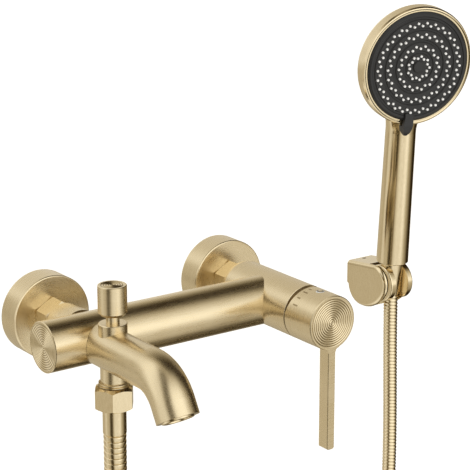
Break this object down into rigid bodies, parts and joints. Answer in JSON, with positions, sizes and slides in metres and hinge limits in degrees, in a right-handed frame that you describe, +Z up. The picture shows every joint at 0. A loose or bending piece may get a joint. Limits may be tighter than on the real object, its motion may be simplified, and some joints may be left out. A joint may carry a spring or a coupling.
{
  "type": "wall mounted bath mixer with hand shower",
  "caption": "Wall mounted bath mixer bar with side lever, spout, pull-up diverter and hand shower on a hose and tilting bracket.",
  "frame": {"origin": "midway between the two wall inlets, on the finished wall", "axes": "+Z up, +Y into the wall, +X to the right as seen from the room"},
  "size_m": [0.37, 0.2028, 0.5658],
  "materials": {
    "brushed_gold": "brushed champagne gold, PVD",
    "satin_gold": "satin champagne gold, PVD",
    "plated_plastic": "satin champagne gold, electroplated ABS",
    "raw_brass": "machined brass",
    "steel": "stainless steel",
    "rubber": "moulded",
    "ceramic": null,
    "cartridge_plastic": "moulded",
    "black_plastic": "matt black",
    "white_plastic": "moulded",
    "hose_metal": "gold plated double-lock spiral",
    "tie_strap": "hook and loop strap"
  },
  "bodies": {
    "mixer": {"mixer_body": "brushed_gold", "end_cap": "brushed_gold", "end_cap_oring": "rubber", "left_wall_union": "raw_brass", "right_wall_union": "raw_brass", "left_escutcheon": "brushed_gold", "right_escutcheon": "brushed_gold", "left_union_nut": "brushed_gold", "right_union_nut": "brushed_gold", "inlet_tailpieces": "raw_brass", "inlet_washers": "rubber", "inlet_filters": "steel", "cartridge_base": "cartridge_plastic", "cartridge_seals": "rubber", "fixed_ceramic_disc": "ceramic", "cartridge_housing": "cartridge_plastic", "retaining_nut": "raw_brass", "dome_collar": "brushed_gold", "spout_body": "brushed_gold", "spout_nipple": "raw_brass", "spout_oring": "rubber", "aerator_housing": "satin_gold", "aerator_screen": "cartridge_plastic", "aerator_washer": "rubber", "diverter_bush": "satin_gold", "diverter_oring": "rubber", "diverter_spring": "steel", "hose_nut": "satin_gold", "hose_washer": "rubber", "hose_ferrule": "satin_gold", "hose_left_leg": "hose_metal", "hose_coil": "hose_metal", "hose_right_leg": "hose_metal", "coil_ties": "tie_strap", "bracket_base": "satin_gold", "bracket_plate": "steel", "bracket_wall_screws": "steel", "bracket_lock_screw": "steel", "cradle_pins": "steel", "cradle_washers": "white_plastic"},
    "temperature_carrier": {"spindle_carrier": "cartridge_plastic", "stem_pin": "steel"},
    "flow_disc": {"moving_ceramic_disc": "ceramic", "disc_carrier": "cartridge_plastic"},
    "handle_lever": {"handle": "brushed_gold", "stem_lever": "raw_brass", "handle_grub_screw": "steel", "index_button": "white_plastic"},
    "diverter": {"diverter_knob": "brushed_gold", "diverter_stem": "satin_gold", "diverter_washer": "rubber"},
    "cradle_barrel": {"cradle": "satin_gold"},
    "hand_shower": {"conical_nut": "satin_gold", "shower_washer": "rubber", "shower_body": "plated_plastic", "waterway_tube": "white_plastic", "spray_chamber": "white_plastic"},
    "spray_selector": {"spray_face": "black_plastic", "nozzle_mat": "white_plastic", "centre_disc": "black_plastic"}
  },
  "joints": [
    {"name": "handle_turn", "type": "hinge", "parent": "mixer", "child": "temperature_carrier", "pos_m": [0.075, -0.1123, 0], "axis": [0, -1, 0], "range_deg": [-50, 50]},
    {"name": "handle_lift", "type": "hinge", "parent": "temperature_carrier", "child": "handle_lever", "pos_m": [0.075, -0.1123, 0], "axis": [-1, 0, 0], "range_deg": [0, 12]},
    {"name": "disc_slide", "type": "slide", "parent": "temperature_carrier", "child": "flow_disc", "axis": [0, 0, -1], "range_m": [0, 0.0045]},
    {"name": "diverter_pull", "type": "slide", "parent": "mixer", "child": "diverter", "axis": [0, 0, 1], "range_m": [0, 0.008], "stiffness_N_per_m": 60, "springref_m": -0.008, "deforming": ["diverter_spring"]},
    {"name": "cradle_tilt", "type": "hinge", "parent": "mixer", "child": "cradle_barrel", "pos_m": [0.216, -0.0365, -0.0217], "axis": [1, 0, 0], "range_deg": [-8, 35], "deforming": ["hose_right_leg"]},
    {"name": "shower_lift", "type": "slide", "parent": "cradle_barrel", "child": "hand_shower", "axis": [0, -0.06, 0.9982], "range_m": [0, 0.026], "deforming": ["hose_right_leg"]},
    {"name": "spray_select", "type": "hinge", "parent": "hand_shower", "child": "spray_selector", "pos_m": [0.21184, -0.06703, 0.15194], "axis": [0.2076, 0.9719, 0.1109], "range_deg": [-45, 45]}
  ],
  "couplings": [
    {"joint": "disc_slide", "follows": "handle_lift", "m_per_rad": 0.020152}
  ]
}
